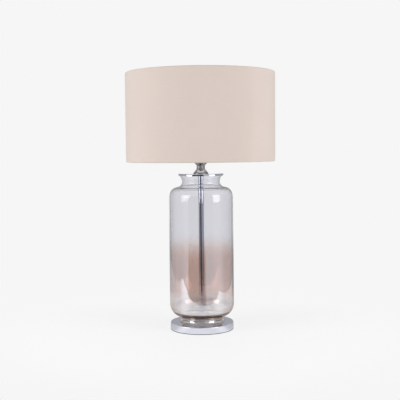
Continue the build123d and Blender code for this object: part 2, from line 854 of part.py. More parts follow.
shade_ring.part.label = "shade_ring"
export_step(shade_ring.part, "parts/shade_ring.step")

# Upper hoop, inside the fabric's upper fold
with BuildPart() as top_hoop:
    with BuildSketch(Plane.XZ):
        with Locations((hoop_radius, upper_hoop_level)):
            Circle(hoop_wire_radius)
    revolve(axis=Axis.Z)

top_hoop.part.label = "top_hoop"
export_step(top_hoop.part, "parts/top_hoop.step")

# Stiff liner behind the fabric
liner_bottom = shade_bottom + hoop_rise
liner_height = shade_height - 2 * hoop_rise
shade_liner = turned_ring(liner_radius, liner_radius - liner_thickness, liner_bottom, liner_height)
shade_liner.part.label = "shade_liner"
export_step(shade_liner.part, "parts/shade_liner.step")

# Fabric drum, folded round both hoops and tucked in behind them, notched at the arms
notch_width = 2 * (hoop_wire_radius + fabric_notch_margin)

with BuildPart() as shade_fabric:
    with BuildSketch(Plane.XZ):
        with BuildLine():
            FilletPolyline(
                (fold_radius, shade_bottom + hoop_rise + fabric_tuck),
                (fold_radius, shade_bottom),
                (shade_radius, shade_bottom),
                (shade_radius, shade_top),
                (fold_radius, shade_top),
                (fold_radius, shade_top - hoop_rise - fabric_tuck),
                radius=hoop_rise,
            )
            offset(amount=fabric_thickness, side=Side.LEFT)
        make_face()
    revolve(axis=Axis.Z)
    for arm in range(arm_count):
        arm_angle = 90 + arm * 360 / arm_count
        notch_plane = Plane.XY.offset(shade_bottom + fabric_thickness).rotated((0, 0, arm_angle))
        with BuildSketch(notch_plane):
            with Locations((hoop_radius, 0)):
                Rectangle(shade_radius - fold_radius, notch_width, align=(Align.MAX, Align.CENTER))
        extrude(amount=fabric_tuck + 2 * hoop_rise, mode=Mode.SUBTRACT)

shade_fabric.part.label = "shade_fabric"
export_step(shade_fabric.part, "parts/shade_fabric.step")

# Bulb: contact, insulator, screw cap, cooling collar and opal dome
insulator_bottom = leaf_top + bulb_contact_height
bulb_cap_bottom = insulator_bottom + bulb_insulator_height
bulb_collar_bottom = bulb_cap_bottom + bulb_cap_height
bulb_dome_bottom = bulb_collar_bottom + bulb_collar_height

with BuildPart() as bulb_contact:
    with BuildSketch(Plane.XY.offset(leaf_top)):
        Circle(bulb_contact_radius)
    extrude(amount=bulb_contact_height)

bulb_contact.part.label = "bulb_contact"
export_step(bulb_contact.part, "parts/bulb_contact.step")

with BuildPart() as bulb_insulator:
    with BuildSketch(Plane.XY.offset(insulator_bottom)):
        Circle(bulb_contact_radius)
    with BuildSketch(Plane.XY.offset(bulb_cap_bottom)):
        Circle(bulb_insulator_top_radius)
    loft(ruled=True)

bulb_insulator.part.label = "bulb_insulator"
export_step(bulb_insulator.part, "parts/bulb_insulator.step")

with BuildPart() as bulb_screw_cap:
    with BuildSketch(Plane.XY.offset(bulb_cap_bottom)):
        Circle(bulb_cap_radius)
    extrude(amount=bulb_cap_height)
    chamfer(bulb_screw_cap.edges().group_by(Axis.Z)[0], bulb_cap_radius - bulb_insulator_top_radius)

bulb_screw_cap.part.label = "bulb_screw_cap"
export_step(bulb_screw_cap.part, "parts/bulb_screw_cap.step")

with BuildPart() as bulb_collar:
    with BuildSketch(Plane.XZ):
        with BuildLine():
            Line((0, bulb_collar_bottom), (bulb_collar_radius, bulb_collar_bottom))
            Line(
                (bulb_collar_radius, bulb_collar_bottom),
                (bulb_collar_radius, bulb_collar_bottom + bulb_collar_step),
            )
            TangentArc(
                (bulb_radius, bulb_dome_bottom),
                (bulb_collar_radius, bulb_collar_bottom + bulb_collar_step),
                tangent=(0, -1),
            )
            Line((bulb_radius, bulb_dome_bottom), (0, bulb_dome_bottom))
            Line((0, bulb_dome_bottom), (0, bulb_collar_bottom))
        make_face()
    revolve(axis=Axis.Z)

bulb_collar.part.label = "bulb_collar"
export_step(bulb_collar.part, "parts/bulb_collar.step")

dome_centre = bulb_dome_bottom + bulb_dome_side
dome_top = dome_centre + bulb_radius

with BuildPart() as bulb_dome:
    with BuildSketch(Plane.XZ):
        with BuildLine():
            Line((0, bulb_dome_bottom), (bulb_radius, bulb_dome_bottom))
            Line((bulb_radius, bulb_dome_bottom), (bulb_radius, dome_centre))
            CenterArc((0, dome_centre), bulb_radius, 0, 90)
            Line((0, dome_top), (0, bulb_dome_bottom))
        make_face()
    revolve(axis=Axis.Z)

bulb_dome.part.label = "bulb_dome"
export_step(bulb_dome.part, "parts/bulb_dome.step")
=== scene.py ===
import bpy
import json
import math
from mathutils import Matrix, Vector, noise


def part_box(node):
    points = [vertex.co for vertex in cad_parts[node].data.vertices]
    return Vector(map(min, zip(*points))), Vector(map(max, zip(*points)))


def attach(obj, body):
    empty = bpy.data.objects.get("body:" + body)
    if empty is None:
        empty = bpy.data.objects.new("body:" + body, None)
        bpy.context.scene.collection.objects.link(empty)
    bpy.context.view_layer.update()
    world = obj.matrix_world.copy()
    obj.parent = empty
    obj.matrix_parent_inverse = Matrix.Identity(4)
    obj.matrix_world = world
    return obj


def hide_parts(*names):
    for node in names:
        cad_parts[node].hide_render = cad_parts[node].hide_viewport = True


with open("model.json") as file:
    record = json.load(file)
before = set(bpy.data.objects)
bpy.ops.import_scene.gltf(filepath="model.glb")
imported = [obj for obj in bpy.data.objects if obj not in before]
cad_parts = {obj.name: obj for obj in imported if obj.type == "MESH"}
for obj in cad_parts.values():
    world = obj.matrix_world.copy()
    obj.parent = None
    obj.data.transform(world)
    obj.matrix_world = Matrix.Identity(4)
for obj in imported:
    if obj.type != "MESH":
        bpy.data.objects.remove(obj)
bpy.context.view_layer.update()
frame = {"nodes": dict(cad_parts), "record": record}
nodes = frame["nodes"]

# Table lamp. The metal, the glass and the works come from the frame and get their finish
# here. The shade's cloth and the lustre on the glass are pieces of their own.
# Metres, +Z up, origin on the table under the lamp's axis, front towards -Y.

MM = 0.001

# Sizes of the shade's frame, which the cloth goes round
SHADE_RADIUS = 180.0 * MM
SHADE_LOW, SHADE_HIGH = (corner.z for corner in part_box("shade_fabric"))
HOOP_RADIUS = 177.1 * MM
HOOP_WIRE = 1.6 * MM
HOOP_GAP = 0.2 * MM
ARM_ANGLES = (90.0, 210.0, 330.0)

# The cloth itself, angles in degrees
CLOTH_THICKNESS = 0.5 * MM
TUCK_HEIGHT = 10.0 * MM
NOTCH_HALF_WIDTH = 2.7 * MM
SEAM_ANGLE = 68.0
SEAM_OVERLAP = 12.0 * MM
SEAM_CLIMB = 3.0
SEAM_GAP = 0.08 * MM
BROAD_SLACK = 0.10 * MM
FINE_SLACK = 0.06 * MM
SLACK_AROUND, SLACK_UPWARD, SLACK_FINER = 7.0, 14.0, 3.1
TUCK_STEPS, FOLD_STEPS, WALL_STEPS = 4, 12, 24
CLOSEST_COLUMNS = 0.35
NOTCH_MARGIN = 0.01
SHARP_ANGLE = 50.0

# Sizes of the glass, which the lustre follows
GLASS_RADIUS = 78.0 * MM
GLASS_LOW = 30.0 * MM
GLASS_BEND = 32.0 * MM
FOOT_RADIUS = 49.0 * MM
FOOT_SPREAD = 4.6 * MM
FOOT_SEAT = 18.2 * MM
FOOT_FILLET = 3.5 * MM

# The lustre is full below one height and gone above the other, and its mesh runs out past that
LUSTRE_TOP = 0.232
LUSTRE_FULL = 0.161
LUSTRE_LOW = 0.036
FOOT_TINT_TOP = 0.088
FILM_GAP = 0.12 * MM
FILM_RUN_OUT = 0.02
FLARE_SHARE = 0.96
FLARE_STEPS, FILLET_STEPS, BEND_STEPS, FILM_WALL_STEPS = 8, 9, 24, 30
FILM_SEGMENTS = 192


# Shader building

def rgb(red, green, blue):
    return (red, green, blue, 1.0)


def set_inputs(tree, node, wires):
    """Link each socket to the one given for it, or set it to the plain value given."""
    for socket, value in wires.items():
        if isinstance(value, bpy.types.NodeSocket):
            tree.links.new(value, node.inputs[socket])
        else:
            node.inputs[socket].default_value = value
    return node


def place(tree, kind, wires=None, **settings):
    node = tree.nodes.new(kind)
    for key, value in settings.items():
        setattr(node, key, value)
    return set_inputs(tree, node, wires or {})


def math_node(tree, operation, *values, clamp=False):
    wires = {i: value for i, value in enumerate(values)}
    return place(tree, "ShaderNodeMath", wires, operation=operation, use_clamp=clamp).outputs[0]


def plus(tree, first, second):
    return math_node(tree, "ADD", first, second)


def minus(tree, first, second):
    return math_node(tree, "SUBTRACT", first, second)


def times(tree, first, second, clamp=False):
    return math_node(tree, "MULTIPLY", first, second, clamp=clamp)


def times_plus(tree, first, second, added, clamp=False):
    return math_node(tree, "MULTIPLY_ADD", first, second, added, clamp=clamp)


def span(tree, value, low, high, to_low=0.0, to_high=1.0, smooth=False):
    kind = "SMOOTHSTEP" if smooth else "LINEAR"
    wires = {"Value": value, "From Min": low, "From Max": high, "To Min": to_low, "To Max": to_high}
    return place(tree, "ShaderNodeMapRange", wires, interpolation_type=kind).outputs["Result"]


def drift(tree, value, low, high):
    """Spread a noise evenly to both sides of nothing."""
    return span(tree, value, low, high, -0.5, 0.5)


def ramp(tree, factor, stops):
    node = place(tree, "ShaderNodeValToRGB", {"Fac": factor})
    bar = node.color_ramp
    while len(bar.elements) < len(stops):
        bar.elements.new(0.5)
    for element, (position, colour) in zip(bar.elements, stops):
        element.position = position
        element.color = colour
    return node.outputs["Color"]


def mix_colour(tree, factor, first, second, blend="MIX"):
    # Sockets 0, 6 and 7 are the node's factor and its two colours
    wires = {0: factor, 6: first, 7: second}
    return place(tree, "ShaderNodeMix", wires, data_type="RGBA", blend_type=blend).outputs[2]


def grey_colour(tree, level):
    wires = {"Red": level, "Green": level, "Blue": level}
    return place(tree, "ShaderNodeCombineColor", wires).outputs["Color"]


def object_place(tree):
    return place(tree, "ShaderNodeTexCoord").outputs["Object"]


def split(tree, vector):
    return place(tree, "ShaderNodeSeparateXYZ", {"Vector": vector}).outputs


def join(tree, **parts):
    return place(tree, "ShaderNodeCombineXYZ", parts).outputs["Vector"]


def length(tree, vector):
    return place(tree, "ShaderNodeVectorMath", {0: vector}, operation="LENGTH").outputs["Value"]


def noise_over(tree, where, scale, detail, **more):
    wires = {"Vector": where, "Scale": scale, "Detail": detail, **more}
    return place(tree, "ShaderNodeTexNoise", wires).outputs["Fac"]


def start_group(name, inputs, outputs):
    tree = bpy.data.node_groups.new(name, "ShaderNodeTree")
    for label, kind, value in inputs:
        socket = tree.interface.new_socket(name=label, in_out="INPUT", socket_type=kind)
        if value is not None:
            socket.default_value = value
    for label, kind in outputs:
        tree.interface.new_socket(name=label, in_out="OUTPUT", socket_type=kind)
    return tree, tree.nodes.new("NodeGroupInput").outputs, tree.nodes.new("NodeGroupOutput")


def use_group(tree, group, wires):
    return place(tree, "ShaderNodeGroup", wires, node_tree=group).outputs


def empty_tree(owner):
    owner.use_nodes = True
    owner.node_tree.nodes.clear()
    return owner.node_tree


def feed(tree, shader, **sockets):
    """Link or set the shader's sockets, whose names are written with _ for each space."""
    set_inputs(tree, shader, {label.replace("_", " "): value for label, value in sockets.items()})


def start_material(name, **sockets):
    material = bpy.data.materials.new(name)
    tree = empty_tree(material)
    shader = place(tree, "ShaderNodeBsdfPrincipled")
    feed(tree, shader, **sockets)
    place(tree, "ShaderNodeOutputMaterial", {"Surface": shader.outputs["BSDF"]})
    return material, tree, shader


def give_height(tree, shader, height, distance, strength=1.0):
    wires = {"Height": height, "Distance": distance, "Strength": strength}
    feed(tree, shader, Normal=place(tree, "ShaderNodeBump", wires).outputs["Normal"])


# Effects that several finishes share

FLOAT, COLOUR, VECTOR = "NodeSocketFloat", "NodeSocketColor", "NodeSocketVector"

# The stretch of a noise's values that is spread over the whole of an effect
NOISE_RANGE = (0.3, 0.7)


def make_handling_marks():
    """Finger marks and wiping: roughness that changes in soft patches with fine streaks in them."""
    patch_edge, streak_edge, least_streak = (0.48, 0.68), (0.35, 0.65), 0.35
    streaks_per_patch, streak_stretch = 9.0, (1.0, 1.0, 0.18)
    inputs = [
        ("Patch Size", FLOAT, 0.03),
        ("Clean Roughness", FLOAT, 0.05),
        ("Marked Roughness", FLOAT, 0.14),
    ]
    tree, enter, leave = start_group("handling_marks", inputs, [("Roughness", FLOAT), ("Mask", FLOAT)])
    where = object_place(tree)
    patch_scale = math_node(tree, "DIVIDE", 1.0, enter["Patch Size"])
    patches = noise_over(tree, where, scale=patch_scale, detail=3.0, Roughness=0.55)
    stretched = place(tree, "ShaderNodeMapping", {"Vector": where, "Scale": streak_stretch})
    streak_scale = times(tree, patch_scale, streaks_per_patch)
    streaks = noise_over(tree, stretched.outputs["Vector"], scale=streak_scale, detail=2.0)
    patch_mask = span(tree, patches, *patch_edge, smooth=True)
    streak_mask = span(tree, streaks, *streak_edge, least_streak, 1.0)
    mask = times(tree, patch_mask, streak_mask, clamp=True)
    rough = span(tree, mask, 0.0, 1.0, enter["Clean Roughness"], enter["Marked Roughness"])
    set_inputs(tree, leave, {"Roughness": rough, "Mask": mask})
    return tree


def make_turning_lines():
    """Fine rings that a lathe, a spinning tool or a polishing wheel leaves round the axis."""
    inputs = [("Pitch", FLOAT, 0.0008), ("Waver", FLOAT, 0.4)]
    tree, enter, leave = start_group("turning_lines", inputs, [("Height", FLOAT)])
    parts = split(tree, object_place(tree))
    radius = length(tree, join(tree, X=parts["X"], Y=parts["Y"]))
    turns = math_node(tree, "DIVIDE", plus(tree, radius, parts["Z"]), enter["Pitch"])
    wires = {"W": turns, "Scale": 0.7, "Detail": 3.0}
    uneven = place(tree, "ShaderNodeTexNoise", wires, noise_dimensions="1D").outputs["Fac"]
    wave = math_node(tree, "SINE", times(tree, turns, math.tau))
    lines = times(tree, wave, minus(tree, 1.0, enter["Waver"]))
    set_inputs(tree, leave, {"Height": times_plus(tree, uneven, enter["Waver"], lines)})
    return tree


def make_surface_grain():
    """Fine grain of a moulded, cast or coated surface, with a slow change of tone."""
    inputs = [
        ("Grain Size", FLOAT, 0.0006),
        ("Tone Size", FLOAT, 0.02),
        ("Tone Depth", FLOAT, 0.1),
        ("Colour", COLOUR, rgb(0.5, 0.5, 0.5)),
    ]
    tree, enter, leave = start_group("surface_grain", inputs, [("Colour", COLOUR), ("Height", FLOAT)])
    where = object_place(tree)
    grain_scale = math_node(tree, "DIVIDE", 1.0, enter["Grain Size"])
    tone_scale = math_node(tree, "DIVIDE", 1.0, enter["Tone Size"])
    grain = noise_over(tree, where, scale=grain_scale, detail=2.0)
    tone = noise_over(tree, where, scale=tone_scale, detail=4.0)
    level = times_plus(tree, drift(tree, tone, *NOISE_RANGE), enter["Tone Depth"], 1.0)
    toned = mix_colour(tree, 1.0, enter["Colour"], grey_colour(tree, level), "MULTIPLY")
    set_inputs(tree, leave, {"Colour": toned, "Height": grain})
    return tree


def make_worn_edges():
    """Outer corners that handling and assembly have rubbed."""
    corner_edge, chip_edge = (0.54, 0.66), (0.4, 0.6)
    inputs = [("Amount", FLOAT, 0.6), ("Break Up Size", FLOAT, 0.002)]
    tree, enter, leave = start_group("worn_edges", inputs, [("Mask", FLOAT)])
    sharp = place(tree, "ShaderNodeNewGeometry").outputs["Pointiness"]
    scale = math_node(tree, "DIVIDE", 1.0, enter["Break Up Size"])
    broken = noise_over(tree, object_place(tree), scale=scale, detail=3.0)
    corner = span(tree, sharp, *corner_edge, smooth=True)
    chipped = span(tree, broken, *chip_edge)
    mask = times(tree, times(tree, corner, chipped), enter["Amount"], clamp=True)
    set_inputs(tree, leave, {"Mask": mask})
    return tree


def make_woven_thread():
    """Plain weave round the shade: threads across and up, with thicker threads here and there."""
    along_warp, along_weft, slub_edge = 0.03, 0.02, (0.5, 0.75)
    inputs = [("Thread Pitch", FLOAT, 0.0006), ("Radius", FLOAT, SHADE_RADIUS), ("Slub", FLOAT, 0.5)]
    tree, enter, leave = start_group("woven_thread", inputs, [("Height", FLOAT), ("Tone", FLOAT)])
    parts = split(tree, object_place(tree))
    angle = math_node(tree, "ARCTAN2", parts["Y"], parts["X"])
    around = times(tree, angle, enter["Radius"])
    across = math_node(tree, "DIVIDE", around, enter["Thread Pitch"])
    upward = math_node(tree, "DIVIDE", parts["Z"], enter["Thread Pitch"])
    warp = math_node(tree, "SINE", times(tree, across, math.pi))
    weft = math_node(tree, "SINE", times(tree, upward, math.pi))
    columns = join(tree, X=across, Y=times(tree, upward, along_warp))
    rows = join(tree, X=times(tree, across, along_weft), Y=upward)
    warp_slub = noise_over(tree, columns, scale=0.8, detail=2.0)
    weft_slub = noise_over(tree, rows, scale=0.8, detail=2.0)
    slubs = plus(tree, span(tree, warp_slub, *slub_edge), span(tree, weft_slub, *slub_edge))
    height = times_plus(tree, slubs, enter["Slub"], times(tree, warp, weft))
    tone = times(tree, plus(tree, warp_slub, weft_slub), 0.5)
    set_inputs(tree, leave, {"Height": height, "Tone": tone})
    return tree


HANDLING_MARKS = make_handling_marks()
TURNING_LINES = make_turning_lines()
SURFACE_GRAIN = make_surface_grain()
WORN_EDGES = make_worn_edges()
WOVEN_THREAD = make_woven_thread()


def handling_marks(tree, patch, clean, marked):
    wires = {"Patch Size": patch, "Clean Roughness": clean, "Marked Roughness": marked}
    return use_group(tree, HANDLING_MARKS, wires)


def turning_lines(tree, shader, pitch, waver, depth):
    lines = use_group(tree, TURNING_LINES, {"Pitch": pitch, "Waver": waver})
    give_height(tree, shader, lines["Height"], depth)


def surface_grain(tree, shader, colour, grain, grain_depth, tone_size, tone_depth):
    """Give the shader the grain's height, and return the colour with its slow change of tone."""
    wires = {"Grain Size": grain, "Tone Size": tone_size, "Tone Depth": tone_depth, "Colour": colour}
    skin = use_group(tree, SURFACE_GRAIN, wires)
    give_height(tree, shader, skin["Height"], grain_depth)
    return skin["Colour"]


def blown_waves(tree, shader, where, depth):
    """The slow waviness of glass that was blown."""
    give_height(tree, shader, noise_over(tree, where, scale=16.0, detail=1.0), depth)


# Finishes: colours are linear, and clean and marked are the roughness without and with marks

# Roughness that the full painted shade at a plated piece's foot adds, and how much rougher a moulding is
# where it is marked
FOOT_DULLING_ROUGHNESS, MARKED_SHARE = 0.3, 1.35


def polished_plate(name, colour, haze_colour, clean, marked, patch, line_depth, painted_foot_shade=None):
    """Polished plating; painted_foot_shade is a painted shade colour and the heights where it has gone and
    where it is full.
    """
    material, tree, shader = start_material(name, Metallic=1.0)
    marks = handling_marks(tree, patch, clean, marked)
    body, rough = mix_colour(tree, marks["Mask"], colour, haze_colour), marks["Roughness"]
    # Painted shade: the plating is darkened and made rougher towards its foot, below the given heights
    if painted_foot_shade:
        painted_shade_colour, gone, full = painted_foot_shade
        height = split(tree, object_place(tree))["Z"]
        foot_shade_mask = span(tree, height, full, gone, 1.0, 0.0, smooth=True)
        body = mix_colour(tree, foot_shade_mask, body, painted_shade_colour)
        rough = times_plus(tree, foot_shade_mask, FOOT_DULLING_ROUGHNESS, rough)
    feed(tree, shader, Base_Color=body, Roughness=rough)
    turning_lines(tree, shader, pitch=0.0007, waver=0.6, depth=line_depth)
    return material


def plated_hardware(name, colour, dull_colour, clean, marked, line_depth, worn_colour):
    material, tree, shader = start_material(name, Metallic=1.0)
    marks = handling_marks(tree, patch=0.006, clean=clean, marked=marked)
    worn = use_group(tree, WORN_EDGES, {"Amount": 0.7, "Break Up Size": 0.0015})
    body = mix_colour(tree, marks["Mask"], colour, dull_colour)
    body = mix_colour(tree, worn["Mask"], body, worn_colour)
    feed(tree, shader, Base_Color=body, Roughness=marks["Roughness"])
    turning_lines(tree, shader, pitch=0.0005, waver=0.5, depth=line_depth)
    return material


def moulding(name, colour, worn_colour, roughness, grain, grain_depth, tone_depth=0.12, coat=0.0):
    """A moulded, cast or coated piece with rubbed corners; marks make it about a third rougher."""
    material, tree, shader = start_material(name, Coat_Roughness=0.12, Coat_Weight=coat)
    body = surface_grain(tree, shader, colour, grain, grain_depth, tone_size=0.012, tone_depth=tone_depth)
    worn = use_group(tree, WORN_EDGES, {"Amount": 0.5})
    marked = min(1.0, roughness * MARKED_SHARE)
    marks = handling_marks(tree, patch=0.012, clean=roughness, marked=marked)
    body = mix_colour(tree, worn["Mask"], body, worn_colour)
    feed(tree, shader, Base_Color=body, Roughness=marks["Roughness"])
    return material


def even_skin(name, colour, grain, grain_depth, tone_size, tone_depth, marks, **sockets):
    """A piece without rubbed corners; marks are the patch size, then clean and marked roughness."""
    material, tree, shader = start_material(name, **sockets)
    body = surface_grain(tree, shader, colour, grain, grain_depth, tone_size, tone_depth)
    feed(tree, shader, Base_Color=body, Roughness=handling_marks(tree, *marks)["Roughness"])
    return material


def blown_glass():
    """Clear glass above, warm where the lustre lies on it and paler again at the foot."""
    clear, tinted, foot = rgb(0.875, 0.875, 0.905), rgb(0.985, 0.835, 0.775), rgb(0.90, 0.885, 0.89)
    material, tree, shader = start_material(
        "blown_glass", Metallic=0.0, Transmission_Weight=1.0, IOR=1.5
    )
    where = object_place(tree)
    height = split(tree, where)["Z"]
    body = mix_colour(tree, span(tree, height, LUSTRE_FULL, LUSTRE_TOP, smooth=True), tinted, clear)
    body = mix_colour(tree, span(tree, height, LUSTRE_LOW, FOOT_TINT_TOP, smooth=True), foot, body)
    marks = handling_marks(tree, patch=0.05, clean=0.0, marked=0.012)
    feed(tree, shader, Base_Color=body, Roughness=marks["Roughness"])
    blown_waves(tree, shader, where, depth=0.00035)
    return material


# Tones of the film from the foot upwards, each at a share of TONE_HEIGHT
TONE_HEIGHT = 0.25
FILM_TONES = [
    (0.086, rgb(0.94, 0.93, 0.94)),
    (0.096, rgb(0.68, 0.64, 0.61)),
    (0.112, rgb(0.62, 0.58, 0.55)),
    # Shares 0.122 to 0.178 are the dark tones of the painted shade band under the round bottom
    (0.122, rgb(0.46, 0.41, 0.36)),
    (0.144, rgb(0.40, 0.35, 0.31)),
    (0.164, rgb(0.27, 0.24, 0.215)),
    (0.178, rgb(0.21, 0.195, 0.18)),
    (0.186, rgb(0.93, 0.91, 0.93)),
    (0.22, rgb(0.90, 0.88, 0.90)),
    (0.30, rgb(0.71, 0.82, 0.91)),
    (0.6, rgb(0.62, 0.79, 0.96)),
    (1.0, rgb(0.74, 0.86, 0.98)),
]
FILM_INSIDE = rgb(0.86, 0.86, 0.90)

# How much of the glass the film covers below its fading edge, and how far clouds shift that edge
FADE_COVER, CLOUD_SHIFT = 0.35, 0.018

# Bands that cover more of the glass, each with the heights where it starts or ends
FOOT_BAND, FOOT_COVER = (0.050, 0.066), 0.25
# A painted shade band: darker film that covers more of the glass under the round bottom
SHADE_BAND_BOTTOM, SHADE_BAND_TOP, SHADE_BAND_COVER = (0.0285, 0.0310), (0.0440, 0.0464), 0.45

# The film covers more where it is seen at a grazing angle, and it is rougher on the ground rim
GRAZING_POWER, GRAZING_COVER = 3.0, 0.75
GROUND_RIM, GROUND_ROUGHNESS = (0.0195, 0.0215), 0.3


def copper_lustre():
    """Thin metal film: cloudy where it fades out, with a painted shade band of darker, denser film on the
    outside of the round bottom.
    """
    material, tree, shader = start_material(
        "copper_lustre", Metallic=1.0, Specular_Tint=rgb(1.0, 0.84, 0.76)
    )
    where = object_place(tree)
    height = split(tree, where)["Z"]
    cloud = noise_over(tree, where, scale=22.0, detail=4.0)
    shifted = times_plus(tree, minus(tree, cloud, 0.5), CLOUD_SHIFT, height)
    fading = span(tree, shifted, LUSTRE_FULL, LUSTRE_TOP, FADE_COVER, 0.0, smooth=True)
    foot = span(tree, height, *FOOT_BAND, FOOT_COVER, 0.0, smooth=True)
    # Painted shade: a dark band of film on the outside of the round bottom
    shade_band_start = span(tree, height, *SHADE_BAND_BOTTOM, smooth=True)
    painted_shade_band = times(tree, shade_band_start, span(tree, height, *SHADE_BAND_TOP, SHADE_BAND_COVER, 0.0, smooth=True))
    outer_side = minus(tree, 1.0, place(tree, "ShaderNodeNewGeometry").outputs["Backfacing"])
    cover = times_plus(tree, painted_shade_band, outer_side, plus(tree, fading, foot))
    facing = place(tree, "ShaderNodeLayerWeight", {"Blend": 0.5}).outputs["Facing"]
    grazing = times(tree, math_node(tree, "POWER", facing, GRAZING_POWER), cover)
    tone = ramp(tree, span(tree, height, 0.0, TONE_HEIGHT), FILM_TONES)
    tone = mix_colour(tree, outer_side, FILM_INSIDE, tone)
    marks = handling_marks(tree, patch=0.02, clean=0.018, marked=0.06)
    ground = span(tree, height, *GROUND_RIM, GROUND_ROUGHNESS, 0.0, smooth=True)
    alpha = times_plus(tree, grazing, GRAZING_COVER, cover, clamp=True)
    feed(tree, shader, Base_Color=tone, Alpha=alpha, Roughness=plus(tree, marks["Roughness"], ground))
    blown_waves(tree, shader, where, depth=0.0006)
    return material


def shade_weave():
    """Champagne cotton: threads differ a little in tone and gloss, and the cloth is slightly cloudy."""
    thread_tone, cloud_tone, thread_roughness = 0.05, 0.02, (0.70, 0.86)
    material, tree, shader = start_material(
        "champagne_cotton",
        Sheen_Weight=0.2,
        Sheen_Roughness=0.45,
        Sheen_Tint=rgb(0.80, 1.0, 0.98),
        Specular_IOR_Level=0.25,
    )
    weave = use_group(tree, WOVEN_THREAD, {"Thread Pitch": 0.00055, "Slub": 0.5})
    cloudy = noise_over(tree, object_place(tree), scale=9.0, detail=3.0)
    level = times_plus(tree, drift(tree, weave["Tone"], 0.35, 0.65), thread_tone, 1.0)
    level = times_plus(tree, drift(tree, cloudy, *NOISE_RANGE), cloud_tone, level)
    body = mix_colour(tree, 1.0, rgb(0.80, 0.69, 0.61), grey_colour(tree, level), "MULTIPLY")
    rough = span(tree, weave["Tone"], *NOISE_RANGE, *thread_roughness)
    feed(tree, shader, Base_Color=body, Roughness=rough)
    give_height(tree, shader, weave["Height"], distance=0.00006, strength=0.6)
    return material


FINISHES = {
    "chrome": polished_plate(
        "polished_chrome", rgb(0.765, 0.775, 0.85), rgb(0.70, 0.71, 0.78),
        clean=0.035, marked=0.09, patch=0.03, line_depth=0.0000012,
    ),
    "nickel": polished_plate(
        "polished_nickel", rgb(0.66, 0.655, 0.66), rgb(0.58, 0.575, 0.58),
        clean=0.05, marked=0.12, patch=0.012, line_depth=0.0000015,
        # Painted shade at the bell's foot, where it meets the lid
        painted_foot_shade=(rgb(0.36, 0.35, 0.35), 0.386, 0.3785),
    ),
    "zinc": plated_hardware(
        "zinc_plate", rgb(0.60, 0.61, 0.60), rgb(0.50, 0.50, 0.47),
        clean=0.24, marked=0.42, line_depth=0.000012, worn_colour=rgb(0.72, 0.72, 0.71),
    ),
    "brass": plated_hardware(
        "pressed_brass", rgb(0.72, 0.52, 0.22), rgb(0.52, 0.36, 0.15),
        clean=0.18, marked=0.36, line_depth=0.000008, worn_colour=rgb(0.82, 0.64, 0.32),
    ),
    "bulb_aluminium": plated_hardware(
        "rolled_aluminium", rgb(0.74, 0.74, 0.75), rgb(0.62, 0.62, 0.62),
        clean=0.22, marked=0.4, line_depth=0.00001, worn_colour=rgb(0.82, 0.82, 0.83),
    ),
    "iron": moulding(
        "black_casting", rgb(0.035, 0.035, 0.036), rgb(0.12, 0.11, 0.10),
        roughness=0.5, grain=0.0016, grain_depth=0.00012, tone_depth=0.3,
    ),
    "pad": moulding(
        "black_foam", rgb(0.025, 0.025, 0.026), rgb(0.05, 0.05, 0.05),
        roughness=0.9, grain=0.0007, grain_depth=0.00018, tone_depth=0.3,
    ),
    "black_plastic": moulding(
        "black_nylon", rgb(0.02, 0.02, 0.021), rgb(0.06, 0.06, 0.06),
        roughness=0.38, grain=0.0005, grain_depth=0.00002,
    ),
    "holder_plastic": moulding(
        "black_thermoset", rgb(0.022, 0.021, 0.022), rgb(0.07, 0.07, 0.07),
        roughness=0.24, grain=0.0009, grain_depth=0.00001, coat=0.2,
    ),
    "switch_plastic": moulding(
        "ivory_push_bar", rgb(0.62, 0.60, 0.53), rgb(0.70, 0.69, 0.64),
        roughness=0.42, grain=0.0005, grain_depth=0.00001,
    ),
    "porcelain": moulding(
        "bare_porcelain", rgb(0.78, 0.76, 0.70), rgb(0.66, 0.63, 0.56),
        roughness=0.62, grain=0.0004, grain_depth=0.00002, tone_depth=0.06,
    ),
    "white_wire": moulding(
        "white_powder_coat", rgb(0.78, 0.78, 0.765), rgb(0.60, 0.60, 0.59),
        roughness=0.36, grain=0.0009, grain_depth=0.00003, tone_depth=0.04,
    ),
    "bulb_black": moulding(
        "black_bulb_glass", rgb(0.012, 0.012, 0.014), rgb(0.04, 0.04, 0.04),
        roughness=0.12, grain=0.0008, grain_depth=0.000004, coat=0.5,
    ),
    "gasket": even_skin(
        "clear_silicone", rgb(0.78, 0.78, 0.80), grain=0.0008, grain_depth=0.00002,
        tone_size=0.01, tone_depth=0.1, marks=(0.01, 0.3, 0.45),
        Transmission_Weight=0.5, IOR=1.41,
    ),
    "glass": blown_glass(),
    "liner": even_skin(
        "white_styrene", rgb(0.83, 0.82, 0.80), grain=0.0012, grain_depth=0.00003,
        tone_size=0.06, tone_depth=0.05, marks=(0.04, 0.42, 0.52),
        Specular_IOR_Level=0.4,
    ),
    "fabric": shade_weave(),
    "bulb_white": even_skin(
        "opal_moulding", rgb(0.84, 0.84, 0.82), grain=0.001, grain_depth=0.00001,
        tone_size=0.02, tone_depth=0.03, marks=(0.015, 0.28, 0.4),
        Subsurface_Weight=0.2, Subsurface_Scale=0.004, IOR=1.5,
    ),
}

for part in frame["record"]["subparts"]:
    for slot in nodes[part["node"]].material_slots:
        slot.material = FINISHES[part["material_slot"]]


def add_piece(name, points, faces, material, smooth=True):
    mesh = bpy.data.meshes.new(name)
    mesh.from_pydata(points, [], faces)
    for face in mesh.polygons:
        face.use_smooth = smooth
    mesh.materials.append(material)
    piece = bpy.data.objects.new(name, mesh)
    bpy.context.scene.collection.objects.link(piece)
    return piece


# Shade cloth

